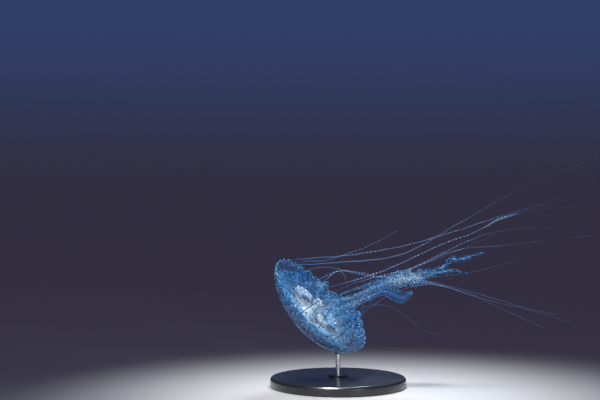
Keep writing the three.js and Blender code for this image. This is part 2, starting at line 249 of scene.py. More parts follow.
BELL_AXIS = np.array([
    math.cos(MOUTH_RISE) * math.cos(MOUTH_TURN),
    -math.sin(MOUTH_TURN),
    math.sin(MOUTH_RISE) * math.cos(MOUTH_TURN),
])
BELL_UP = np.array([-math.sin(MOUTH_RISE), 0.0, math.cos(MOUTH_RISE)])
BELL_CROSS = np.cross(BELL_AXIS, BELL_UP)
OUTER_DOME = (BELL_RADIUS, BELL_DEPTH)
INNER_DOME = (BELL_RADIUS - JELLY_AT_RIM, BELL_DEPTH - JELLY_AT_TOP)

# Routes of the tentacles after their root and lead, as in the part's source.
TENTACLE_ROUTES = [
    [[-7, -14, 106], [52, -14, 113], [102, -16, 140], [152, -18, 168], [252, -20, 209]],
    [[-25, -32, 90], [-1, -30, 100], [38, -29, 95], [71, -29, 92], [116, -29, 81], [198, -31, 56]],
    [[-25, -43, 84], [33, -40, 100], [85, -38, 123], [112, -38, 133], [131, -38, 143], [150, -38, 148.5],
     [247, -40, 159]],
    [[8, -49, 90], [60, -46, 104], [95, -45, 118], [131, -45, 122], [228, -48, 133]],
    [[-7, -53, 71], [41, -52, 95], [81, -52, 115], [111, -53, 129], [130, -54, 134], [178, -56, 138]],
    [[3, -45, 51], [33, -44, 77], [70, -43, 90], [99, -43, 84], [168, -46, 54]],
    [[15, -34, 58], [38, -36, 86], [70, -37, 91], [132, -36, 74], [185, -34, 64]],
    [[22, -15, 44], [19, -20, 60], [21, -25, 73], [29, -28, 81]],
    [[23, 7, 43], [17, 3, 50]],
    [[23, 24, 51], [16, 18, 58]],
    [[26, 42, 64], [36, 40, 66], [46, 38, 65], [60, 36, 57], [78, 34, 43], [89, 33, 41]],
    [[39, 46, 83], [74, 42, 89], [119, 38, 95], [173, 35, 109]],
    [[2, 50, 95], [7, 48, 92], [10, 46, 79]],
    [[-6, 42, 99], [21, 38, 93], [43, 34, 91], [81, 30, 104], [144, 28, 131]],
    [[-9, 31, 106], [7, 31, 111], [29, 32, 119], [53, 33, 132]],
    [[-20, 10, 109], [6, 10, 111], [54, 8, 119], [97, 6, 131], [139, 4, 145], [167, 3, 153], [197, 2, 163],
     [241, 0, 172]],
]

# The side of the mouth tube that each oral arm leaves, and its route as x, y, z and half width.
ARMS = [
    (0, [
        [-4, -4, 76, 2], [9, -8, 82, 1.8], [20, -11, 86, 2.2], [35, -13, 90, 4], [50, -15, 93, 6],
        [67, -16, 96, 5.2], [82, -16, 100, 2.2], [90, -16, 104, 2], [95, -16, 109, 2.6],
        [103, -16, 109, 2.2], [112, -16, 112, 1.8], [123, -16, 115, 0.6],
    ]),
    (90, [
        [-5, -9, 73, 2.4], [15, -15, 79, 2.8], [31, -19, 86, 4], [51, -22, 92, 5.4],
        [68, -23, 94, 4.6], [81, -23, 98, 1.9], [95, -23, 100, 1.5], [107, -23, 98, 0.6],
    ]),
    (180, [
        [-4, -5, 66, 2.3], [10, -9, 70, 2.8], [23, -12, 76, 3.2], [38, -14, 82, 3.6],
        [47, -15, 79, 4.8], [54, -15, 77, 5.4], [62, -14, 82, 1.2],
    ]),
    (270, [
        [-4, 2, 71, 2.4], [17, -3, 77, 2.8], [35, -6, 85, 4.6], [52, -8, 90, 6],
        [66, -9, 92, 5], [75, -9, 88, 1.4],
    ]),
]

# ---- Small helpers ----

def lerp(a, b, t):
    return a + (b - a) * t


def smooth(low, high, x):
    """0 below low, 1 above high, and an even curve between."""
    t = np.clip((np.asarray(x, float) - low) / (high - low), 0, 1)
    return t * t * (3 - 2 * t)


def length_of(v):
    return np.sqrt((v * v).sum(-1, keepdims=True))


def unit(v):
    return v / np.maximum(length_of(v), 1e-9)


def away_from(angle, middle):
    """The turn from middle to angle, in degrees from -180 to 180."""
    return np.mod(angle - middle + 180, 360) - 180


def near(angle, middle, spread):
    """1 at the middle angle, falling off softly over the spread."""
    return np.exp(-((away_from(angle, middle) / spread) ** 2))


def waves(seed, x, y, count=6, low=0.6, high=2.2):
    """Soft noise from a few crossing waves: about -1 to 1, and the same on every run."""
    rng = np.random.default_rng(seed)
    total = 0
    for _ in range(count):
        turn = rng.uniform(0, 2 * np.pi)
        rate = rng.uniform(low, high)
        phase = rng.uniform(0, 2 * np.pi)
        total = total + np.sin(rate * (np.cos(turn) * x + np.sin(turn) * y) + phase)
    return total / math.sqrt(count)


def full_turn(count):
    """One row of even angles round a circle, in radians."""
    return np.linspace(0, 2 * np.pi, count, endpoint=False)[None, :]


def nodes_named(start):
    return [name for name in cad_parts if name.startswith(start)]


# ---- The bell's shape ----

def bell_place(radius, height, angle):
    """A point from its distance to the bell's axis, its height past the mouth and its angle."""
    turn = np.radians(angle)
    radius, height, turn = np.broadcast_arrays(radius, height, turn)
    return (
        MOUTH_CENTRE
        + height[..., None] * BELL_AXIS
        + (radius * np.cos(turn))[..., None] * BELL_UP
        + (radius * np.sin(turn) * BELL_SQUEEZE)[..., None] * BELL_CROSS
    )


def rim_lift(angle):
    return sum(lift * near(angle, at, spread) for at, spread, lift in RIM_FOLDS)


def dome_lean(share, angle):
    return 1 - BELL_LEAN * np.cos(np.radians(angle - BELL_LEAN_ANGLE)) * share ** 2


def dome_height(depth, share, angle):
    fall = np.maximum(0, 1 - share ** BELL_FULLNESS) ** (1 / BELL_ROUNDNESS)
    return -depth * dome_lean(share, angle) * fall + rim_lift(angle) * share ** 4


def dome_place(dome, share, angle):
    radius, depth = dome
    share, angle = np.broadcast_arrays(np.asarray(share, float), np.asarray(angle, float))
    return bell_place(radius * share, dome_height(depth, share, angle), angle)


def lappet_scallop(angle):
    """1 in the middle of a lappet and 0 at the clefts beside it."""
    return np.abs(np.sin(np.radians(angle * LAPPETS) / 2))


def fringe_place(dome, reached, angle, thinning):
    """A point of the lappets: reached runs from 0 at the rim to 1 at the edge."""
    radius, depth = dome
    lean = dome_lean(lerp(RIM_SHARE, 1, reached), angle)
    rim_fall = (1 - RIM_SHARE ** BELL_FULLNESS) ** (1 / BELL_ROUNDNESS)
    start = -depth * lean * rim_fall
    tip = LAPPET_CLEFT_HEIGHT + LAPPET_LENGTH * lappet_scallop(angle) ** LAPPET_ROUNDNESS
    height = lerp(start, tip, reached)
    fall = np.maximum(0, -height / (depth * lean))
    share = np.maximum(0, 1 - fall ** BELL_ROUNDNESS) ** (1 / BELL_FULLNESS)
    lifted = height + rim_lift(angle) * lerp(RIM_SHARE ** 4, 1, reached)
    return bell_place(radius * share + thinning, lifted, angle)


def surface_frame(dome, share, angle):
    """A point of a dome with its outward, radial and around directions."""
    step = 0.004
    here = dome_place(dome, share, angle)
    out = unit(dome_place(dome, share + step, angle) - dome_place(dome, share - step, angle))
    around = unit(dome_place(dome, share, angle + 0.5) - dome_place(dome, share, angle - 0.5))
    return here, unit(np.cross(around, out)), out, around


# ---- Meshes ----

def normals_of(rings):
    """Unit normals of a closed grid of rings, all to the same side."""
    around = np.roll(rings, -1, 1) - np.roll(rings, 1, 1)
    along = np.gradient(rings, axis=0)
    return unit(np.cross(around, along))


class Shell:
    """Gathers closed tubes into one mesh. Each tube gets its own strip of the OFBake map."""

    MARGIN = 0.002

    def __init__(self, strips):
        self.strips = strips
        self.used = 0
        self.count = 0
        self.points = []
        self.faces = []
        self.uvs = []
        self.slots = []
        self.values = {}

    def add_tube(self, rings, values=None, slots=None, share=1):
        """Adds rings[row, column] in mm, closed at both ends; values are named numbers per point."""
        rows, cols = rings.shape[:2]
        tips = np.stack([rings[0].mean(0), rings[-1].mean(0)])
        points = np.concatenate([rings.reshape(-1, 3), tips])
        quads, fans = self.tube_faces(rows, cols)
        quad_uvs, fan_uvs = self.tube_uvs(rows, cols, share)
        p = [points[quads[:, k]] for k in range(4)]
        volume = (p[0] * np.cross(p[1], p[2]) + p[0] * np.cross(p[2], p[3])).sum()
        if volume < 0:
            quads, fans = quads[:, ::-1], fans[:, ::-1]
            quad_uvs, fan_uvs = quad_uvs[:, ::-1], fan_uvs[:, ::-1]
        row_slots = np.zeros(rows - 1, int) if slots is None else np.asarray(slots)
        self.points.append(points)
        self.faces += (quads + self.count).tolist() + (fans + self.count).tolist()
        self.uvs += [quad_uvs.reshape(-1, 2), fan_uvs.reshape(-1, 2)]
        self.slots += [np.repeat(row_slots, cols), np.repeat(row_slots[[0, -1]], cols)]
        for name, value in (values or {}).items():
            value = np.asarray(value, float)
            full = np.broadcast_to(value, (rows, cols) + value.shape[2:])
            ends = np.stack([full[0].mean(0), full[-1].mean(0)])
            flat = full.reshape((rows * cols,) + full.shape[2:])
            self.values.setdefault(name, []).append(np.concatenate([flat, ends]))
        self.count += len(points)
        self.used += share

    @staticmethod
    def tube_faces(rows, cols):
        index = np.arange(rows * cols).reshape(rows, cols)
        after = np.roll(index, -1, 1)
        quads = np.stack([index[:-1], after[:-1], after[1:], index[1:]], -1).reshape(-1, 4)
        first = np.full(cols, rows * cols)
        start = np.stack([first, after[0], index[0]], -1)
        end = np.stack([first + 1, index[-1], after[-1]], -1)
        return quads, np.concatenate([start, end])

    def tube_uvs(self, rows, cols, share):
        low = self.used / self.strips + self.MARGIN
        high = (self.used + share) / self.strips - self.MARGIN
        u = np.linspace(self.MARGIN, 1 - self.MARGIN, cols + 1)
        v = np.linspace(low, high, rows + 2)
        u0, v0 = np.meshgrid(u[:-1], v[1:-2])
        u1, v1 = np.meshgrid(u[1:], v[2:-1])
        quads = np.stack([u0, v0, u1, v0, u1, v1, u0, v1], -1).reshape(-1, 4, 2)
        half = (u[:-1] + u[1:]) / 2
        ends = []
        for tip, edge, left, right in ((v[0], v[1], u[1:], u[:-1]), (v[-1], v[-2], u[:-1], u[1:])):
            level = np.full(cols, edge)
            corners = [half, np.full(cols, tip), left, level, right, level]
            ends.append(np.stack(corners, -1).reshape(-1, 3, 2))
        return quads, np.concatenate(ends)


def placed(name, data):
    """A new object in the scene, at the origin."""
    made = bpy.data.objects.new(name, data)
    bpy.context.scene.collection.objects.link(made)
    return made


def build_object(name, shell, materials, replaced=()):
    """Writes a shell as a smooth mesh in metres that rides on the model's one body."""
    mesh = bpy.data.meshes.new(name)
    mesh.from_pydata((np.concatenate(shell.points) * METRES).tolist(), [], shell.faces)
    mesh.uv_layers.new(name="OFBake").data.foreach_set("uv", np.concatenate(shell.uvs).ravel())
    for key, parts in shell.values.items():
        value = np.concatenate(parts)
        kind, field = ("FLOAT_VECTOR", "vector") if value.ndim == 2 else ("FLOAT", "value")
        mesh.attributes.new(key, kind, "POINT").data.foreach_set(field, value.ravel())
    for material in materials:
        mesh.materials.append(material)
    mesh.polygons.foreach_set("material_index", np.concatenate(shell.slots))
    mesh.polygons.foreach_set("use_smooth", np.ones(len(mesh.polygons), bool))
    mesh.update()
    piece = placed(name, mesh)
    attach(piece, "root")
    if replaced:
        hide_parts(*replaced)


def build_tube(name, rings, materials, replaced, values=None, slots=None):
    """Builds a piece that is one closed tube."""
    shell = Shell(1)
    shell.add_tube(rings, values, slots)
    build_object(name, shell, materials, replaced)


def strand_axes(path, side=(0.0, 1.0, 0.0)):
    """The directions ahead, across and through a strand, at each point of its path."""
    ahead = unit(np.gradient(path, axis=0))
    across = unit(np.cross(ahead, np.array(side)))
    return ahead, across, np.cross(across, ahead)


def rings_about(path, across, through, radius, turn):
    """Rings about path[n] from radius[n, column] and the turns of the columns."""
    circle = np.cos(turn)[..., None] * across[:, None] + np.sin(turn)[..., None] * through[:, None]
    return path[:, None] + radius[..., None] * circle


def round_tube(path, radius, sides):
    """Rings of a round tube along path[n]; radius is a number for each point."""
    _, across, through = strand_axes(path, (0.03, 1.0, 0.05))
    return rings_about(path, across, through, np.asarray(radius)[:, None], full_turn(sides))


def blob_rings(centre, axes, sizes, rows=6, cols=10):
    """Rings of an ellipsoid with the given axes (three unit vectors) and half sizes."""
    polar = np.linspace(0.16, np.pi - 0.16, rows)[:, None]
    turn = full_turn(cols)
    x = np.sin(polar) * np.cos(turn)
    y = np.sin(polar) * np.sin(turn)
    z = np.cos(polar) + 0 * turn
    return centre + sum(
        (size * part)[..., None] * axis for size, part, axis in zip(sizes, (x, y, z), axes)
    )


# ---- Materials ----

class Nodes:
    """A material's node tree, with short calls for the nodes that the finishes use."""

    def __init__(self, name):
        self.material = bpy.data.materials.new(name)
        self.material.use_nodes = True
        self.tree = self.material.node_tree
        self.shader = self.tree.nodes["Principled BSDF"]
        self.place = self.add("TexCoord").outputs["Object"]

    def add(self, kind, inputs=None, **settings):
        made = self.tree.nodes.new("ShaderNode" + kind)
        for key, value in settings.items():
            setattr(made, key, value)
        for key, value in (inputs or {}).items():
            self.put(made.inputs[key], value)
        return made

    def put(self, socket, value):
        if isinstance(value, bpy.types.NodeSocket):
            self.tree.links.new(value, socket)
        else:
            socket.default_value = (*value, 1.0) if socket.type == "RGBA" else value

    def value(self, name):
        return self.add("Attribute", attribute_name=name).outputs["Fac"]

    def vector(self, name):
        return self.add("Attribute", attribute_name=name).outputs["Vector"]

    def math(self, operation, a, b=0.0):
        return self.add("Math", {0: a, 1: b}, operation=operation).outputs[0]

    def chained(self, operation, terms):
        """Joins the terms by an operation; a pair counts as a value times its weight."""
        weighed = [self.math("MULTIPLY", *term) if isinstance(term, tuple) else term for term in terms]
        return functools.reduce(lambda a, b: self.math(operation, a, b), weighed)

    def product(self, *terms):
        return self.chained("MULTIPLY", terms)

    def total(self, *terms):
        return self.chained("ADD", terms)

    def most(self, *terms):
        return self.chained("MAXIMUM", terms)

    def band(self, value, low, high, out_low=0.0, out_high=1.0):
        """An even step from out_low to out_high as value goes from low to high."""
        inputs = {"Value": value, "From Min": low, "From Max": high, "To Min": out_low, "To Max": out_high}
        return self.add("MapRange", inputs, interpolation_type="SMOOTHSTEP").outputs[0]

    def mix(self, factor, a, b):
        return self.add("Mix", {0: factor, 6: a, 7: b}, data_type="RGBA").outputs[2]

    def painted(self, colour, *coats):
        """Lays coats over a colour; each is where it lies, how thickly, and its own colour."""
        for where, strength, paint in coats:
            colour = self.mix(self.math("MULTIPLY", where, strength), colour, paint)
        return colour

    def scaled(self, vector, scale):
        return self.add("Mapping", {"Vector": vector, "Scale": scale}).outputs[0]

    def noise(self, per_mm, detail=3.0, rough=0.55, vector=None):
        """Noise with this many features to a millimetre, from 0 to 1."""
        scale = per_mm / METRES if vector is None else per_mm
        inputs = {"Vector": vector or self.place, "Scale": scale, "Detail": detail, "Roughness": rough}
        return self.add("TexNoise", inputs).outputs["Fac"]

    def pitted(self, low):
        """Small dark pits; the place is stretched a little, so that they don't follow the pale specks."""
        return self.band(self.noise(0.64, 2.0, 0.6, self.scaled(self.place, (1013, 1000, 990))), 0.47, low)

    def warped(self, per_mm, reach_mm):
        """The place, pushed about by soft noise so that patterns lose their straight edges."""
        inputs = {"Vector": self.place, "Scale": per_mm / METRES, "Detail": 2.0}
        noise = self.add("TexNoise", inputs).outputs["Color"]
        centred = self.add("VectorMath", {0: noise, 1: (0.5, 0.5, 0.5)}, operation="SUBTRACT").outputs[0]
        moved = {0: centred, 1: (reach_mm * METRES,) * 3, 2: self.place}
        return self.add("VectorMath", moved, operation="MULTIPLY_ADD").outputs[0]

    def cells(self, per_mm, vector, feature="DISTANCE_TO_EDGE"):
        inputs = {"Vector": vector, "Scale": per_mm / METRES}
        return self.add("TexVoronoi", inputs, feature=feature).outputs["Distance"]

    def facing(self, blend):
        return self.add("LayerWeight", {"Blend": blend}).outputs["Facing"]

    def bump(self, height, distance_mm, strength=1.0):
        inputs = {"Height": height, "Distance": distance_mm * METRES, "Strength": strength}
        return self.add("Bump", inputs).outputs["Normal"]

    def finish(self, colour, roughness, alpha=1.0, normal=None, **fixed):
        """Sets the shader's main inputs; fixed holds the ones that are the same all over."""
        main = {"Base_Color": colour, "Roughness": roughness, "Alpha": alpha}
        if normal is not None:
            main["Normal"] = normal
        for key, value in {**main, **fixed}.items():
            self.put(self.shader.inputs[key.replace("_", " ")], value)
        return self.material


def edging_of(n, strength):
    """The grainy pale line along the lappets' edge, partly their own paler edge and partly a painted
    highlight.
    """
    return n.product(n.value("edge"), n.band(n.noise(0.6, 3.0, 0.65), 0.45, 0.56, 0.06, strength))


def thinned(n, alpha, clearest, edging):
    """The alpha of a skin of the bell, thinner where it's clear and thicker along its edge."""
    return n.most(n.product(alpha, n.band(n.value("clear"), 0.2, 0.9, 1.0, clearest)), (edging, 0.56))


def outer_jelly():
    """The clear upper skin: nearly see-through, with a pale rim that is partly a painted highlight, and
    stinging specks.
    """
    n = Nodes("outer_jelly")
    fringe = n.value("fringe")
    specks = n.band(n.cells(0.55, n.warped(0.5, 0.6), "F1"), 0.34, 0.2)
    net = n.band(n.cells(0.42, n.warped(0.35, 1.6)), 0.16, 0.04)
    cloud = n.product(n.value("cloudy"), n.band(n.noise(0.16, 4.0), 0.38, 0.6))
    streaks = n.band(n.noise(1.0, 3.0, 0.6, n.scaled(n.vector("polar"), (30, 30, 3))), 0.5, 0.66)
    white = n.most((specks, 0.8), (net, cloud), (streaks, fringe))
    edging = edging_of(n, 1.0)
    grit = n.noise(0.7, 2.0, 0.6)
    rimward = n.band(fringe, 0.3, 0.6)
    flecks = n.product(n.band(grit, 0.54, 0.6), rimward)
    holes = n.product(n.band(grit, 0.47, 0.41), rimward)
    blue = n.mix(n.band(n.noise(0.25, 4.0, 0.65), 0.4, 0.62), MID_BLUE, CLEAR_BLUE)
    colour = n.painted(
        blue, (white, 1, RIM_BLUE), (edging, 1, RIM_BLUE), (flecks, 0.7, FLECK_BLUE), (holes, 0.8, DARK_LINE),
    )
    sheer = n.math("POWER", n.facing(0.5), 7.0)
    grains = n.most(flecks, holes)
    alpha = n.total(0.02, (white, 0.46), (cloud, 0.2), (sheer, 0.8), (fringe, 0.1), (grains, 0.4))
    rough = n.band(n.noise(1.2), 0.3, 0.7, 0.14, 0.28)
    return n.finish(colour, rough, thinned(n, alpha, 0.3, edging), n.bump(n.noise(0.8, 3.0), 0.2), **JELLY)


def under_jelly():
    """The milky blue underside: white network, dark radial lines and ring muscles."""
    n = Nodes("under_jelly")
    polar = n.vector("polar")
    milk, deep, dim, azure = (n.value(name) for name in ("milk", "deep", "dim", "azure"))
    net = n.band(n.cells(0.34, n.warped(0.3, 2.4)), 0.2, 0.05)
    fine_net = n.band(n.cells(0.7, n.warped(0.6, 1.0)), 0.22, 0.08)
    grains = n.band(n.noise(0.7, 2.0, 0.6), 0.51, 0.57)
    pits = n.product(n.pitted(0.4), n.band(milk, 0.2, 0.8, 1.0, 0.55))
    sparks = n.product(
        n.band(n.cells(0.55, n.warped(0.6, 1.6), "F1"), 0.32, 0.16), n.band(n.noise(0.4, 2.0), 0.45, 0.56),
        n.band(dim, 0.8, 1.0, 1.0, 0.5),
    )
    mottles = n.band(n.noise(0.3, 4.0, 0.6), 0.42, 0.6)
    lines = n.band(n.noise(1.0, 2.0, 0.5, n.scaled(polar, (21, 21, 1.4))), 0.4, 0.34)
    rings = n.noise(1.0, 2.0, 0.5, n.scaled(polar, (4, 4, 34)))
    crease = n.math("SUBTRACT", n.noise(1.0, 1.0, 0.5, n.scaled(polar, (8, 8, 1.1))), 0.5)
    creases = n.product(n.band(n.math("ABSOLUTE", crease), 0.055, 0.02), n.band(milk, 0.1, 0.5))
    plain = n.product(n.band(deep, 0.5, 0.0), n.band(milk, 0.6, 0.2))
    veins = n.product(n.band(rings, 0.53, 0.6), plain)
    gaps = n.product(n.band(rings, 0.47, 0.4), plain)
    threads = n.most((net, 0.8), (fine_net, 0.55), (grains, 0.95))
    threads = n.most((threads, n.band(deep, 0.0, 1.0, 1.0, 0.45)), (veins, 0.8))
    threads = n.product(threads, n.band(dim, 0.4, 1.0, 1.0, 0.5), n.band(dim, 0.85, 1.0, 1.0, 0.5))
    milky = n.product(milk, n.band(n.noise(0.5, 4.0), 0.3, 0.58, 0.5, 1.0))
    dark = n.most((lines, n.band(milk, 0.5, 1.0, 0.75, 0.32)), pits, (creases, 0.6), (gaps, 0.6))
    edging = edging_of(n, 0.9)
    blue = n.painted(n.mix(mottles, DEEP_BLUE, MID_BLUE), (n.band(rings, 0.5, 0.66), 0.35, PALE_BLUE))
    pale = n.mix(mottles, MID_BLUE, PALE_BLUE)
    thread_blue = n.mix(azure, n.mix(deep, ICE_BLUE, PALE_BLUE), RIM_BLUE)
    # The dim tint lays painted shade on the bell's lower side.
    colour = n.painted(
        n.mix(deep, pale, blue), (dim, 0.85, DARK_LINE), (azure, 0.7, CLEAR_BLUE), (threads, 1, thread_blue),
        (milky, 1, MILK_WHITE), (dark, 1, DARK_LINE), (edging, 1, ICE_BLUE), (sparks, 0.75, MILK_WHITE),
    )
    alpha = n.most(n.total(0.34, (n.most(threads, milky, sparks), 0.56)), (deep, 0.86), (pits, 0.8))
    alpha = thinned(n, alpha, 0.1, edging)
    normal = n.bump(n.total(n.noise(0.9, 4.0), (net, 0.5)), 0.5)
    return n.finish(colour, 0.36, alpha, normal, IOR=1.37, Specular_IOR_Level=0.2)


def wart_finish():
    n = Nodes("wart_white")
    colour = n.mix(n.noise(1.4, 3.0), PALE_BLUE, WART_WHITE)
    return n.finish(colour, 0.32, 0.5, n.bump(n.noise(3.0), 0.05), **JELLY)


def rhopalium_finish():
    n = Nodes("rhopalium")
    colour = n.mix(n.noise(2.0, 3.0), *RHOPALIUM_BROWNS)
    return n.finish(colour, 0.35, 0.95, n.bump(n.noise(4.0), 0.04), **JELLY)


def gonad_finish():
    """Milk-white folds with paler finger tips; a gonad given less painted light is nearly all blue, as
    painted shade.
    """
    n = Nodes("gonad_milk")
    folds = n.band(n.cells(0.9, n.warped(0.8, 0.8)), 0.0, 0.22)
    gonad_shade = n.band(n.value("gonad_lit"), 0.0, 1.0, 0.85, 0.0)
    colour = n.mix(folds, PALE_BLUE, GONAD_WHITE)
    colour = n.painted(colour, (n.value("tip"), 0.5, TIP_WHITE), (gonad_shade, 1, GONAD_SHADE_BLUE))
    return n.finish(colour, 0.38, 0.97, n.bump(n.noise(1.8, 4.0), 0.15), **JELLY)


def arm_finish():
    """Lacy films: pale threads and specks on a nearly clear blue skin.

    crowd is 1 in the white thick of the frills, 0 on plain lace and below 0 on smooth film.
    """
    n = Nodes("oral_arm_frill")
    crowd = n.value("crowd")
    film = n.value("film")
    lace = n.band(n.cells(0.7, n.warped(0.6, 1.1)), 0.16, 0.05)
    specks = n.band(n.noise(0.72, 2.0, 0.6), 0.53, 0.59)
    patch = n.band(n.noise(0.26, 3.0, 0.6), 0.4, 0.56, 0.3, 1.0)
    veil = n.band(n.noise(0.3, 4.0, 0.6), 0.38, 0.62)
    hem = n.band(n.value("frill"), 0.84, 1.0)
    lacy = n.band(crowd, -0.6, 0.0, 0.12, 1.0)
    pits = n.product(n.pitted(0.41), lacy)
    threads = n.product(n.most((lace, 0.7), specks), lacy)
    curds = n.most(threads, n.band(n.noise(0.5, 3.0), 0.4, 0.6, 0.2, 0.9), n.band(crowd, 0.7, 1.0, 0.0, 0.7))
    milky = n.product(n.band(crowd, 0.1, 0.8), curds)
    colour = n.painted(
        n.mix(veil, MID_BLUE, PALE_BLUE), (threads, n.band(crowd, 0.0, 0.5, 0.3, 1.0), THREAD_BLUE),
        (hem, 0.4, ICE_BLUE), (milky, 1, MILK_WHITE), (pits, n.band(crowd, 0.6, 1.0, 1.0, 0.8), DARK_LINE),
    )
    alpha = n.total(film, (threads, n.band(crowd, 0.0, 0.6, 0.44, 0.7)), (hem, 0.2))
    alpha = n.product(alpha, n.most(patch, n.band(film, 0.3, 0.5), n.band(crowd, 0.0, -0.6)))
    normal = n.bump(n.noise(1.2, 4.0), 0.3)
    return n.finish(colour, 0.28, n.math("MINIMUM", alpha, 0.96), normal, **JELLY)


def tentacle_finish():
    """Blue strands with pale beads of stinging cells; the near roots are darkened with painted shade."""
    n = Nodes("tentacle_beads")
    bead, shade, faint = (n.value(name) for name in ("bead", "shade", "faint"))
    colour = n.painted(
        n.mix(n.noise(0.6, 3.0), MID_BLUE, PALE_BLUE), (n.band(bead, 0.35, 0.9, 0.0, 0.85), 1, BEAD_BLUE),
        (faint, 0.6, MID_BLUE), (shade, 0.9, DARK_LINE),
    )
    beads = n.product(n.band(bead, 0.0, 0.8), n.band(faint, 0.0, 1.0, 0.44, 0.18))
    alpha = n.most(n.total(n.band(faint, 0.0, 1.0, 0.2, 0.03), beads), (shade, 0.75))
    return n.finish(colour, 0.3, alpha, n.bump(n.noise(3.5), 0.06), **JELLY)


def lacquer_finish():
    """Satin black lacquer over close-grained wood."""
    n = Nodes("black_lacquer")
    grain = n.noise(1.0, 4.0, 0.6, n.scaled(n.place, (60, 900, 300)))
    rough = n.band(n.noise(0.05, 3.0), 0.3, 0.7, 0.26, 0.32)
    normal = n.bump(grain, 0.05, 0.5)
    return n.finish(n.mix(grain, *LACQUER_BLACKS), rough, 1.0, normal, Coat_Weight=0.4, Coat_Roughness=0.15)


def felt_finish():
    """Black felt, where the cup touches the animal."""
    n = Nodes("black_felt")
    fibres = n.noise(2.4, 4.0, 0.7)
    return n.finish(n.mix(fibres, *FELT_BLACKS), 0.95, 1.0, n.bump(fibres, 0.15), Sheen_Weight=0.15)


def steel_finish():
    """Brushed stainless steel, brushed round the rod."""
    n = Nodes("brushed_steel")
    brushed = n.noise(1.0, 4.0, 0.7, n.scaled(n.place, (150, 150, 9000)))
    rough = n.total(n.band(brushed, 0.3, 0.7, 0.2, 0.34), (n.noise(0.15, 3.0), 0.06))
    return n.finish(n.mix(brushed, *STEEL_GREYS), rough, 1.0, n.bump(brushed, 0.02, 0.6), Metallic=1.0)


# ---- Bell ----

def bell_rings():
    """Rings over the outside of the bell, round the lappets' edge and back over the underside."""
    around = 576
    dome_rows = 54
    fringe_rows = 13
    top_share = 0.012
    rimward_crowding = 1.3
    edge_thinning = 0.36
    edge_round = 0.18
    angle = np.linspace(0, 360, around, endpoint=False)[None, :]
    shares = RIM_SHARE * (1 - (1 - np.linspace(top_share, 1, dome_rows)) ** rimward_crowding)[:, None]
    reached = np.linspace(0, 1, fringe_rows + 1)[1:, None]
    thin = edge_thinning * reached ** 2
    outer = dome_place(OUTER_DOME, shares, angle)
    outer_fringe = fringe_place(OUTER_DOME, reached, angle, -thin)
    inner_fringe = fringe_place(INNER_DOME, reached[::-1], angle, thin[::-1])
    inner = dome_place(INNER_DOME, shares[::-1], angle)
    edge = (outer_fringe[-1] + inner_fringe[0])[None] / 2 + edge_round * BELL_AXIS
    rings = np.concatenate([outer, outer_fringe, edge, inner_fringe, inner])
    near_edge = lerp(RIM_SHARE, 1, reached)
    tip = np.ones((1, 1))
    share = np.concatenate([shares, near_edge, tip, near_edge[::-1], shares[::-1]]) + 0 * angle
    fringe = np.concatenate([0 * shares, reached, tip, reached[::-1], 0 * shares]) + 0 * angle
    outside = np.arange(len(rings)) < dome_rows + fringe_rows
    return rings, share, fringe, angle + 0 * share, outside


def bell_relief(share, fringe, angle, outside):
    """How far each point stands out: furrows, pouches and soft folds."""
    x = share * np.cos(np.radians(angle)) * 9
    y = share * np.sin(np.radians(angle)) * 9
    inward = smooth(1.0, 0.8, share)
    scallop = lappet_scallop(angle)
    furrow = np.exp(-((scallop / FURROW_WIDTH) ** 2)) * smooth(0.80, 0.97, share)
    outer = OUTER_FOLDS * waves(3, x, y) * inward - OUTER_FURROW * furrow
    outer = outer + LAPPET_SWELL * fringe * (scallop - 0.6)
    pouch = np.abs(np.cos(np.radians(angle * POUCHES / 2))) ** 0.6 - 0.6
    under = UNDER_FOLDS * waves(5, x * 1.6, y * 1.6) * inward - UNDER_FURROW * furrow
    under = under + POUCH_HEIGHT * pouch * smooth(0.3, 0.5, share) * smooth(0.95, 0.85, share)
    muscle = np.sin(share * RING_MUSCLE_RATE) * smooth(0.45, 0.6, share) * smooth(0.97, 0.9, share)
    return np.where(outside[:, None], outer, under + RING_MUSCLE_HEIGHT * muscle)


def pale_rim(angle):
    """1 on the part of the rim that is palest, where the painted highlight along the edge is widest, and 0
    away from it.
    """
    return smooth(56, 34, np.abs(away_from(angle, PALE_RIM_ANGLE)))


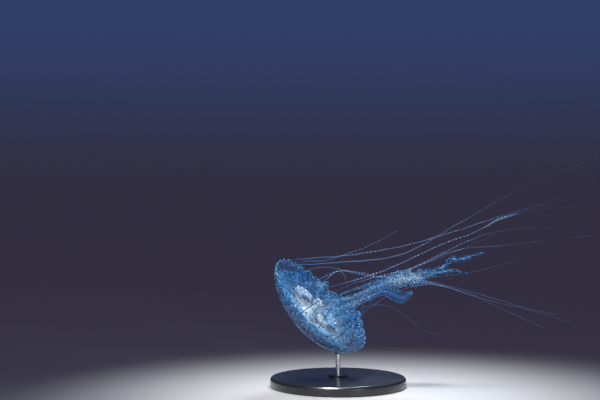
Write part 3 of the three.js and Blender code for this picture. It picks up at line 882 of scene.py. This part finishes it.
def bell_tints(share, angle):
    """Where the underside is milk white, deep blue or clear, and where the outside is cloudy."""

    def patch(middle, spread, low, high, strength):
        return strength * near(angle, middle, spread) * smooth(low, high, share)

    def spot(middle, spread, at, reach, strength):
        return strength * near(angle, middle, spread) * np.exp(-(((share - at) / reach) ** 2))

    milk = 1.1 * smooth(0.48, 0.22, share) + spot(*MILK_HEART) + patch(*MILK_BELOW) * smooth(0.8, 0.5, share)
    # The milk under each gonad follows how lit that gonad is painted, as painted shade.
    for middle, gonad_lit in zip(GONAD_ANGLES, GONAD_LIGHTNESS):
        milk = milk + spot(middle, GONAD_HALF_ANGLE, GONAD_MIDDLE_SHARE, GONAD_HALF_SHARE, gonad_lit)
    milk = np.clip(milk, 0, 1) * (1 - patch(*MILK_HOLLOW))
    lobe = patch(*PALE_LOBE)
    # The first deep patch is painted shade on the upper left of the underside.
    deep = sum(patch(*place) for place in DEEP_PATCHES) + 0.35 * smooth(0.9, 0.97, share)
    deep = np.clip(deep, 0, 1) * (1 - 0.8 * milk) * (1 - 0.85 * lobe)
    deep = deep * (1 - 0.8 * smooth(0.945, 0.97, share) * pale_rim(angle))
    clear = smooth(30, 18, np.abs(away_from(angle, CLEAR_ANGLE)))
    clear = clear * np.exp(-(((share - CLEAR_SHARE) / 0.045) ** 4))
    cloudy = smooth(105, 40, np.abs(away_from(angle, CLOUDY_ANGLE))) * smooth(0.15, 0.5, share)
    return {
        "milk": np.clip(milk + 0.1 * lobe, 0, 1),
        "deep": deep,
        "clear": clear,
        "cloudy": cloudy,
        # dim is painted shade on the lower side and the lower rim.
        "dim": np.clip(patch(*DIM_BELOW) + spot(*LOWER_RIM_SHADE), 0, 1),
        "azure": patch(*AZURE_PATCH),
    }


def make_bell():
    rings, share, fringe, angle, outside = bell_rings()
    normals = normals_of(rings)
    if (normals[4].mean(0) @ BELL_AXIS) > 0:
        normals = -normals
    rings = rings + normals * bell_relief(share, fringe, angle, outside)[..., None]
    turn = np.radians(angle)
    pale = pale_rim(angle)
    plain = 1 - 0.65 * near(angle, PLAIN_RIM_ANGLE, 26)
    values = {
        "polar": np.stack([np.cos(turn), np.sin(turn), share], -1),
        "fringe": plain * smooth(0.86, 1.0, share),
        # edge: the pale line along the lappets, partly a painted highlight.
        "edge": plain * smooth(lerp(0.55, 0.4, pale), lerp(1.0, 0.8, pale), fringe),
        **bell_tints(share, angle),
    }
    nodes = ["bell"] + nodes_named("lappets_")
    slots = np.where(outside[:-1], 0, 1)
    build_tube("bell_skin", rings, [outer_jelly(), under_jelly()], nodes, values, slots)


def make_warts():
    """Stinging warts over the outside, longer along the radius and smaller near the top."""
    rng = np.random.default_rng(11)
    shell = Shell(WARTS)
    for _ in range(WARTS):
        share = math.sqrt(rng.uniform(0.01, 0.93))
        angle = rng.uniform(0, 360)
        here, normal, out, around = surface_frame(OUTER_DOME, share, angle)
        size = rng.uniform(0.28, 0.5) * (0.7 + 0.5 * share)
        sizes = (size * rng.uniform(1.1, 1.9), size, size * rng.uniform(0.7, 1.1))
        shell.add_tube(blob_rings(here, (out, around, normal), sizes, 5, 8))
    build_object("warts", shell, [wart_finish()])


def make_rhopalia():
    """The sixteen sense bodies, in every second cleft between the lappets."""
    shell = Shell(RHOPALIA)
    reached = np.full((1, 1), 0.8)
    for k in range(RHOPALIA):
        angle = np.full((1, 1), k * 360 / RHOPALIA)
        outer, inner = (fringe_place(dome, reached, angle, 0) for dome in (OUTER_DOME, INNER_DOME))
        _, normal, out, around = surface_frame(INNER_DOME, 0.94, angle[0, 0])
        shell.add_tube(blob_rings((outer + inner)[0, 0] / 2, (out, around, normal), RHOPALIUM_HALF_SIZES))
    build_object("rhopalia", shell, [rhopalium_finish()])


# ---- Gonads ----

def make_gonads():
    """Four folded crescents, each with a fringe of soft fingers."""
    rng = np.random.default_rng(29)
    shell = Shell(len(GONAD_ANGLES) * (len(GONAD_FOLDS) + GONAD_FINGERS))
    t = np.linspace(-1, 1, 120)
    for middle, gonad_lit in zip(GONAD_ANGLES, GONAD_LIGHTNESS):
        for side, swell in GONAD_FOLDS:
            meander = 0.022 * np.sin(t * GONAD_WAVES + side) + side * GONAD_FOLD_GAP
            share = GONAD_MIDDLE_SHARE + meander + 0.05 * np.cos(t * np.pi / 2)
            lift = 1.25 + 0.35 * np.sin(t * GONAD_WAVES + 1.5 + side)
            path = dome_place(INNER_DOME, share, middle + t * (GONAD_HALF_ANGLE - 3))
            path = path + lift[:, None] * BELL_AXIS
            radius = swell * np.sqrt(np.clip(1 - t ** 4, 0.03, 1)) * (1 + 0.12 * np.sin(t * 31))
            shell.add_tube(round_tube(path, radius, 14), {"tip": 0, "gonad_lit": gonad_lit})
        for k in range(GONAD_FINGERS):
            at = (k + 0.5) / GONAD_FINGERS * 2 - 1
            share = GONAD_MIDDLE_SHARE + rng.uniform(-0.09, 0.07) + 0.05 * math.cos(at * math.pi / 2)
            here, _, out, around = surface_frame(INNER_DOME, share, middle + at * (GONAD_HALF_ANGLE - 4))
            lean = unit(BELL_AXIS * 2 + out * rng.uniform(-1.2, 0.6) + around * rng.uniform(-0.8, 0.8))
            size = 0.8 * rng.uniform(2.4, 4.2)
            along = np.linspace(0.2, 1, 9)[:, None]
            sway = out * 0.5 * np.sin(along * 3 + rng.uniform(0, 6))
            path = here + along * size * lean + sway * along
            thin = (1 - 0.35 * along[:, 0]) * np.sqrt(np.clip(1.02 - along[:, 0] ** 6, 0.04, 1))
            shell.add_tube(round_tube(path, GONAD_FINGER_RADIUS * thin, 8), {"tip": along, "gonad_lit": gonad_lit})
    build_object("gonads", shell, [gonad_finish()], nodes_named("gonad_"))


# ---- Strands ----

def curve_through(points, t):
    """The centripetal Catmull-Rom curve through points, at t from 0 to 1, as the solids use."""
    points = np.asarray(points, float)
    points = np.concatenate([2 * points[:1] - points[1:2], points, 2 * points[-1:] - points[-2:-1]])
    place = t * (len(points) - 3)
    span = np.minimum(place.astype(int), len(points) - 4)
    w = (place - span)[:, None]
    p0, p1, p2, p3 = (points[span + k] for k in range(4))
    d0, d1, d2 = (np.sqrt(length_of(b - a)) for a, b in ((p0, p1), (p1, p2), (p2, p3)))
    t1 = ((p1 - p0) / d0 - (p2 - p0) / (d0 + d1) + (p2 - p1) / d1) * d1
    t2 = ((p2 - p1) / d1 - (p3 - p1) / (d1 + d2) + (p3 - p2) / d2) * d1
    c2 = -3 * p1 + 3 * p2 - 2 * t1 - t2
    c3 = 2 * p1 - 2 * p2 + t1 + t2
    return p1 + t1 * w + c2 * w ** 2 + c3 * w ** 3


def even_curve(points, step):
    """Points a step apart along the curve, their distance from its start, and the curve's own t."""
    t = np.linspace(0, 1, 4000)
    dense = curve_through(points, t)
    gone = np.concatenate([[0], np.cumsum(length_of(np.diff(dense, axis=0))[:, 0])])
    count = max(8, int(gone[-1] / step))
    reach = np.linspace(0, gone[-1], count)
    at = np.interp(reach, gone, t)
    return curve_through(points, at), reach, at


def strand_looks(number, reach, at, beat):
    """How thick with beads, how dark and how faint a strand is, from its root to its tip."""
    bead = (0.5 + 0.5 * np.cos(2 * np.pi * beat)) ** 2.2 * lerp(0.35, 1, smooth(0, 6, reach))
    plain = PLAIN_STARTS.get(number, PLAIN_START)
    bead = lerp(0.2 + 0.25 * bead, bead, smooth(0.25 * plain, plain, reach))
    # shade: painted shade on the roots of the near tentacles.
    shade = smooth(NEAR_SHADE_FROM, NEAR_SHADE_TO, reach) if number in NEAR_TENTACLES else 0 * reach
    fading = 0.95 * smooth(0.55, 0.92, at) if number in FAINT_ENDS else 0.6 * at ** 2.2
    faint = np.clip(FAINT_TENTACLES.get(number, 0.0) + fading, 0, 1)
    start = FAINT_STARTS.get(number, 1)
    return bead, shade, np.maximum(faint, 0.8 * smooth(start, 0.7 * start, reach))


def make_tentacle(number, route, material):
    """A beaded strand, whose root is buried in the bell so that no gap shows."""
    angle = (number - 0.5) * TENTACLE_STEP_ANGLE
    root = dome_place(INNER_DOME, TENTACLE_ROOT_SHARE, angle) + TENTACLE_ROOT_DROP * BELL_AXIS
    path, reach, at = even_curve([root, root + TENTACLE_LEAD * BELL_AXIS] + route, TENTACLE_STEP)
    buried = np.arange(-TENTACLE_BURIED_STEPS, 0) * TENTACLE_STEP
    path = np.concatenate([root + buried[:, None] * BELL_AXIS, path])
    reach = np.concatenate([buried, reach])
    at = np.concatenate([0 * buried, at])
    beat = reach / BEAD_GAP + 0.4 * np.sin(reach / 6.1 + number) + 0.2 * np.sin(reach / 2.9 + 2 * number)
    bead, shade, faint = strand_looks(number, reach, at, beat)
    radius = lerp(TENTACLE_THICK, TENTACLE_THIN, at)
    if number == SWOLLEN_TENTACLE:
        part = np.clip((at - SWELLING_FROM) / (SWELLING_TO - SWELLING_FROM), 0, 1)
        radius = radius + SWELLING_EXTRA * np.sin(np.pi * part ** 1.8)
        swollen = np.sin(np.pi * part) ** 0.5
        faint = faint * (1 - swollen)
        bead = lerp(bead, 0.55 + 0.45 * bead, swollen)
    full = 0.84 + 0.16 * np.sin(reach / 1.7 + number) * np.sin(reach / 4.3)
    radius = radius * lerp(THREAD_SHARE, BEAD_SHARE * full, bead) * smooth(-0.6, 0.3, reach[-1] - reach)
    _, across, through = strand_axes(path)
    sway = 0.14 * smooth(4, 20, reach)
    path = path + (sway * np.sin(reach / 3.1 + number))[:, None] * across
    path = path + (sway * np.cos(reach / 3.7 + 2 * number))[:, None] * through
    turn = full_turn(TENTACLE_SIDES)
    lumpy = 1 + 0.12 * bead[:, None] * np.sin(3 * turn + 2.4 * beat[:, None] * np.pi)
    rings = rings_about(path, across, through, radius[:, None] * lumpy, turn)
    values = {"bead": bead[:, None], "shade": shade[:, None], "faint": faint[:, None]}
    nodes = [f"tentacle_{number}_near", f"tentacle_{number}_far"]
    build_tube(f"strand_{number}", rings, [material], nodes, values)


# ---- Mouth tube and oral arms ----

def manubrium_rings(along):
    """Rings of the mouth tube; along runs from 0 at its base to 1 at its lip."""
    angle = np.linspace(0, 360, 96, endpoint=False)[None, :]
    inside = np.clip(along, 0, 1)
    straight = lerp(MANUBRIUM_BASE_RADIUS, MANUBRIUM_LIP_RADIUS, inside)
    radius = lerp(straight, MANUBRIUM_WAIST_RADIUS, np.sin(np.pi * inside))
    flare = MANUBRIUM_FLARE * smooth(0.16, 0.0, along) ** 2
    corners = 1 + 0.14 * inside * np.cos(np.radians(4 * angle))
    folds = 0.16 * np.sin(np.radians(angle * 24)) * smooth(0.5, 1.0, along)
    height = lerp(MANUBRIUM_BASE, MANUBRIUM_END, along)
    lip = np.where(along > 0.97, 0.82, 1.0)
    return bell_place((radius * corners + flare + folds) * lip, height, angle)


def arm_path(number, side, route):
    """The middle line of an oral arm, its distance from the root, its half width and its axes."""
    root = bell_place(ARM_ROOT_RADIUS, ARM_ROOT_HEIGHT, side)
    lead = bell_place(ARM_LEAD_RADIUS, MANUBRIUM_END + ARM_LEAD, side)
    path, reach, at = even_curve([root, lead] + [point[:3] for point in route], ARM_STEP)
    widths = [ARM_ROOT_HALF_WIDTH, ARM_ROOT_HALF_WIDTH] + [point[3] for point in route]
    width = np.interp(at * (len(widths) - 1), np.arange(len(widths)), widths)
    return path, reach, width * lerp(ARM_NARROWING[number - 1], 1, smooth(40, 62, reach)), strand_axes(path)


def arm_sheet(number, arm, half, reach_out, turned):
    """Two ruffled curtains on the sides of a stem, as one closed flattened tube."""
    path, reach, width, (ahead, across, through) = arm
    if turned:
        across, through = through, across
    width = width[:, None] * reach_out
    q = np.sin(np.linspace(-np.pi / 2, np.pi / 2, half))
    q = np.concatenate([q, q[::-1]])[None, :]
    face = np.concatenate([np.ones(half), -np.ones(half)])[None, :]
    s = reach[:, None]
    out = np.abs(q)
    edge = out ** 1.5
    opened = smooth(12, 44, s) * smooth(-1, 5, reach[-1] - s) * lerp(0.55, 1, smooth(2.2, 4.2, width))
    opened = opened * ARM_RUFFLES[number - 1]
    hand = np.sign(q) * 1.7 + number + 2.6 * turned
    drift = 1.5 * np.sin(s / 7 + number) + 1.1 * np.sin(s / 3.1 + 2 * hand) + 0.7 * np.sin(s / 1.7 + hand)
    swell = 1 + 0.5 * np.sin(s / 5.3 + 2 * hand) * np.sin(s / 3.7 + number)

    def ruffle(length, phase):
        return np.sin(2 * np.pi * s / length + phase)

    big = ruffle(BIG_RUFFLE, hand + drift)
    small = ruffle(SMALL_RUFFLE, 2.3 * hand - 1.6 * drift)
    depth = width * opened * edge * swell * (0.3 * big + 0.22 * small * out)
    depth = depth + 0.3 * opened * edge * ruffle(TINY_RUFFLE, 3 * hand + 2 * drift)
    shift = width * opened * edge * 0.4 * ruffle(SHIFT_RUFFLE, 2 * hand + drift)
    spikes = np.maximum(0, ruffle(SPIKE_GAP, 5 * hand + 2.4 * drift)) ** 3
    lobes = np.sin(s / 2.1 + 2 * hand + drift) + 0.8 * np.sin(s / 0.9 + hand)
    knobs = 0.3 * np.sin(s / 0.55 + 2 * np.sin(s / 1.9) + hand) * np.sin(s / 1.3 + 2 * hand)
    frill = 1 + opened * (0.17 * lobes * out + (0.42 * spikes - 0.14) * out ** 4)
    frill = frill + knobs * smooth(50, 80, s) * smooth(3.0, 2.0, width) * edge
    stem = np.minimum(STEM_HALF_THICKNESS, 0.3 * width) * np.exp(-((q / STEM_WIDTH) ** 2))
    thick = stem + FILM_HALF_THICKNESS + 0.05 * out ** 8
    deep = depth + face * thick * np.sqrt(np.clip(1.0 - q ** 2, 0, 1)) ** 0.5
    rings = (
        path[:, None]
        + (q * width * frill)[..., None] * across[:, None]
        + deep[..., None] * through[:, None]
        + shift[..., None] * ahead[:, None]
    )
    return rings, arm_tints(number, arm, out)


def arm_tints(number, arm, out):
    """How white and how clear an arm is, at the distance out from its stem to its hem."""
    _, reach, width, _ = arm
    reach = reach[:, None]
    width = width[:, None]
    thick_of_it = smooth(2.6, 4.6, width) * smooth(54, 76, reach) * smooth(108, 82, reach)
    tail = smooth(3.2, 2.2, width) * smooth(60, 80, reach)
    root = ARM_ROOT_VEIL[number - 1] * smooth(84, 34, reach)
    film = 0.08 + 0.16 * np.exp(-((out / STEM_WIDTH) ** 2)) + 0.05 * thick_of_it + 0.28 * tail + 0.26 * root
    film = film + ARM_FILM[number - 1] * smooth(50, 62, reach)
    crowd = ARM_WHITENESS[number - 1] * thick_of_it * lerp(1.0, 0.1, out) + 0.5 * root
    crowd = crowd - ARM_SMOOTHNESS[number - 1] * smooth(48, 58, reach)
    return {"frill": out, "crowd": crowd, "film": film}


def make_tufts(shell, number, arm, places, count, rng):
    """Feathery fingers that stand out from an arm at any of the places along it."""
    path, _, width, (ahead, across, through) = arm
    along = np.linspace(0, 1, 7)[:, None]
    for _ in range(count):
        at = rng.choice(places)
        turn = rng.uniform(0, 2 * np.pi)
        out = np.cos(turn) * across[at] + 0.8 * np.sin(turn) * through[at]
        far = width[at] * rng.uniform(0.15, 0.8)
        size = width[at] * rng.uniform(0.22, 0.5)
        lean = unit(out + ahead[at] * rng.uniform(-0.5, 1.1))
        bend = (ahead[at] * rng.uniform(-0.4, 0.4) + through[at] * rng.uniform(-0.4, 0.4)) * size
        line = path[at] + far * out + along * size * lean + along ** 2 * bend
        radius = rng.uniform(0.2, 0.36) * (1 - 0.75 * along[:, 0] ** 2)
        white = ARM_WHITENESS[number - 1] * rng.uniform(0.2, 1.1) * (1.05 - far / width[at]) ** 1.5
        shell.add_tube(round_tube(line, radius, 6), {"frill": 0.5, "crowd": white, "film": 0.3})


def make_arms():
    """The mouth tube with its four arms, and the second curtains and fingers that fill them out."""
    finish = arm_finish()
    arms = [arm_path(number, side, route) for number, (side, route) in enumerate(ARMS, 1)]
    shell = Shell(len(ARMS) + 1)
    along = np.linspace(-0.06, 1, 60)[:, None]
    low = np.linspace(1, 0, 60)[:, None]
    # The tube is less white at its base, where the key lamp strikes the flare: painted shade that tones down
    # the highlight there.
    crowd = 0.93 - 0.5 * smooth(0.76, 0.95, low)
    shell.add_tube(manubrium_rings(along), {"frill": 0, "crowd": crowd, "film": 0.7 + 0.2 * low})
    for number, arm in enumerate(arms, 1):
        shell.add_tube(*arm_sheet(number, arm, 22, 1.0, 0))
    build_object("oral_arms", shell, [finish], ["manubrium"] + nodes_named("arm_"))
    rng = np.random.default_rng(37)
    shell = Shell(SECOND_CURTAIN_STRIPS * len(ARMS) + sum(ARM_FINGERS) + sum(TAIL_FINGERS))
    for number, (path, reach, width, axes) in enumerate(arms, 1):
        kept = slice(*np.searchsorted(reach, (SECOND_CURTAIN_FROM, reach[-1] - 2)))
        arm = (path[kept], reach[kept], width[kept], [axis[kept] for axis in axes])
        sheet = arm_sheet(number, arm, 14, SECOND_CURTAIN_WIDTH, 1)
        shell.add_tube(*sheet, share=SECOND_CURTAIN_STRIPS)
        thick = (arm[2] > THICK_HALF_WIDTH) & (arm[1] > 44)
        tail = (arm[2] <= THICK_HALF_WIDTH) & (arm[1] > 80)
        make_tufts(shell, number, arm, np.flatnonzero(thick), ARM_FINGERS[number - 1], rng)
        make_tufts(shell, number, arm, np.flatnonzero(tail), TAIL_FINGERS[number - 1], rng)
    build_object("arm_frills", shell, [finish])


# ---- Stand ----

def rounded(profile, radius, steps=5):
    """Rounds the corners of a [radius, height] outline, so that they catch the light."""
    profile = np.array(profile, float)
    result = [profile[0]]
    for before, corner, after in zip(profile, profile[1:], profile[2:]):
        back = before - corner
        on = after - corner
        cut = min(radius, np.hypot(*back) * 0.45, np.hypot(*on) * 0.45)
        start = corner + back / np.hypot(*back) * cut
        end = corner + on / np.hypot(*on) * cut
        for t in np.linspace(0, 1, steps):
            result.append((1 - t) ** 2 * start + 2 * t * (1 - t) * corner + t ** 2 * end)
    result.append(profile[-1])
    return result


def turned(name, outline, edge_round, sides, material, slot, node):
    """Builds a round piece about the upright axis from an outline of [radius, height] pairs."""
    turn = full_turn(sides)
    radius, height = np.array(rounded(outline, edge_round), float).T[..., None]
    rings = np.stack([radius * np.cos(turn), radius * np.sin(turn), height + 0 * turn], -1)
    build_tube(name, rings, [material], [node])


def make_base():
    boss_top = BASE_HEIGHT + BOSS_HEIGHT
    socket = ROD_RADIUS + SOCKET_CLEARANCE
    outline = [
        [2, 0], [BASE_RADIUS, 0], [BASE_RADIUS, BASE_HEIGHT - BASE_CHAMFER],
        [BASE_RADIUS - BASE_CHAMFER, BASE_HEIGHT], [BOSS_RADIUS + BOSS_HEIGHT / 2, BASE_HEIGHT],
        [BOSS_RADIUS, boss_top], [socket, boss_top], [socket, boss_top - SOCKET_DEPTH],
        [0.4, boss_top - SOCKET_DEPTH],
    ]
    finish = lacquer_finish()
    turned("stand_base_turned", outline, BASE_EDGE_ROUND, 128, finish, "base_wood", "stand_base")


def make_rod(steel):
    low, high = (np.array(corner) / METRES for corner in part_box("stand_rod"))
    radius = (high[0] - low[0]) / 2
    outline = [
        [0.3, low[2]], [radius, low[2]], [radius, low[2] + 3], [radius, high[2] - 3],
        [radius, high[2]], [0.3, high[2]],
    ]
    turned("stand_rod_steel", outline, ROD_EDGE_ROUND, 48, steel, "rod_steel", "stand_rod")


def point_over_origin():
    """The share and angle of the point of the bell's outside straight above the base's middle."""
    share, angle = np.meshgrid(np.arange(0.3, RIM_SHARE, 0.005), np.arange(90, 270, 0.5))
    place = dome_place(OUTER_DOME, share, angle)
    away = np.hypot(place[..., 0], place[..., 1]) + np.where(place[..., 2] < MOUTH_CENTRE[2], 0, 999)
    best = np.unravel_index(away.argmin(), away.shape)
    return share[best], angle[best]


def make_pad(steel):
    """The flared cup under the bell: its face follows the bell, and its foot is level."""
    share, angle = point_over_origin()
    turn = full_turn(PAD_SIDES)

    def face(r):
        x, z = r * np.cos(turn), r * np.sin(turn)
        side = np.degrees(z * PAD_RADIUS / (BELL_RADIUS * share))
        here, normal, _, _ = surface_frame(OUTER_DOME, share + x * PAD_RADIUS / BELL_RADIUS, angle - side)
        return here + GAP * normal

    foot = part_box("stand_pad")[0][2] / METRES
    rim = face(np.array([[1.0]]))[0]
    narrow = PAD_FOOT_RADIUS / PAD_RADIUS
    level = np.stack([rim[:, 0] * narrow, rim[:, 1] * narrow, np.full(PAD_SIDES, foot)], -1)
    inner = face(np.array([[0.04], [0.4], [0.8], [0.95]]))
    t = np.array([0.0, 0.06, 0.15, 0.3, 0.5, 0.7, 0.85, 0.95, 1.0])[:, None, None]
    waist = 1 - PAD_WAIST * np.sin(np.pi * t) ** 0.8
    side = lerp(rim, level, t)
    side = np.concatenate([side[..., :2] * waist, side[..., 2:]], -1)
    close = np.stack([level * [r, r, 1] for r in (0.9, 0.1)])
    rings = np.concatenate([inner, side, close])
    slots = np.where(np.arange(len(rings) - 1) < len(inner), 1, 0)
    build_tube("stand_pad_cup", rings, [steel, felt_finish()], ["stand_pad"], None, slots)


# ---- Studio ----

def make_floor():
    mesh = bpy.data.meshes.new("floor")
    r = FLOOR_REACH
    mesh.from_pydata([(-r, -r, 0), (r, -r, 0), (r, r, 0), (-r, r, 0)], [], [(0, 1, 2, 3)])
    n = Nodes("pale_floor")
    mesh.materials.append(n.finish(n.mix(n.noise(0.004, 3.0), *FLOOR_GREYS), 0.6))
    floor = placed("floor", mesh)


def make_lamp(name, kind, place, aim, watts, colour, **settings):
    data = bpy.data.lights.new(name, kind)
    for key, value in {"energy": watts, "color": colour, **settings}.items():
        setattr(data, key, value)
    lamp = placed(name, data)
    lamp.location = place
    lamp.rotation_euler = (Vector(aim) - Vector(place)).to_track_quat("-Z", "Y").to_euler()


def make_world():
    """A dusk-blue surround, whose colour goes by the height of the direction."""
    world = bpy.data.worlds.new("studio")
    world.use_nodes = True
    tree = world.node_tree
    direction = tree.nodes.new("ShaderNodeTexCoord").outputs["Generated"]
    height = tree.nodes.new("ShaderNodeSeparateXYZ")
    ramp = tree.nodes.new("ShaderNodeValToRGB")
    ramp.color_ramp.interpolation = "EASE"
    stops = ramp.color_ramp.elements
    stops[1].position = BACKDROP[2][0]
    stops.new(BACKDROP[1][0])
    for stop, (_, colour) in zip(stops, BACKDROP):
        stop.color = (*colour, 1)
    tree.links.new(direction, height.inputs[0])
    tree.links.new(height.outputs["Z"], ramp.inputs["Fac"])
    tree.links.new(ramp.outputs["Color"], tree.nodes["Background"].inputs["Color"])
    bpy.context.scene.world = world


def make_studio():
    """Soft light whose pools stay near the model, a pale floor and the surround."""
    make_floor()
    for name, place, aim, watts, colour, cone, radius in SPOTS:
        shape = {"spot_size": math.radians(cone), "spot_blend": 1.0, "shadow_soft_size": radius}
        make_lamp(name, "SPOT", place, aim, watts, colour, **shape)
    make_lamp("fill", "AREA", FILL_PLACE, FILL_AIM, FILL_WATTS, FILL_COLOUR, size=FILL_SIZE)
    make_world()
    bpy.context.scene.view_settings.view_transform = "Standard"
    bpy.context.scene.cycles.transparent_max_bounces = 32


def make_camera():
    data = bpy.data.cameras.new("camera")
    data.lens = CAMERA_LENS
    camera = placed("camera", data)
    camera.location = CAMERA_PLACE
    camera.rotation_euler = (math.pi / 2, 0, 0)
    bpy.context.scene.camera = camera


make_camera()
make_studio()
make_bell()
make_warts()
make_rhopalia()
make_gonads()
make_arms()
strand_material = tentacle_finish()
for index, tentacle_route in enumerate(TENTACLE_ROUTES, 1):
    make_tentacle(index, tentacle_route, strand_material)
make_base()
steel_material = steel_finish()
make_rod(steel_material)
make_pad(steel_material)
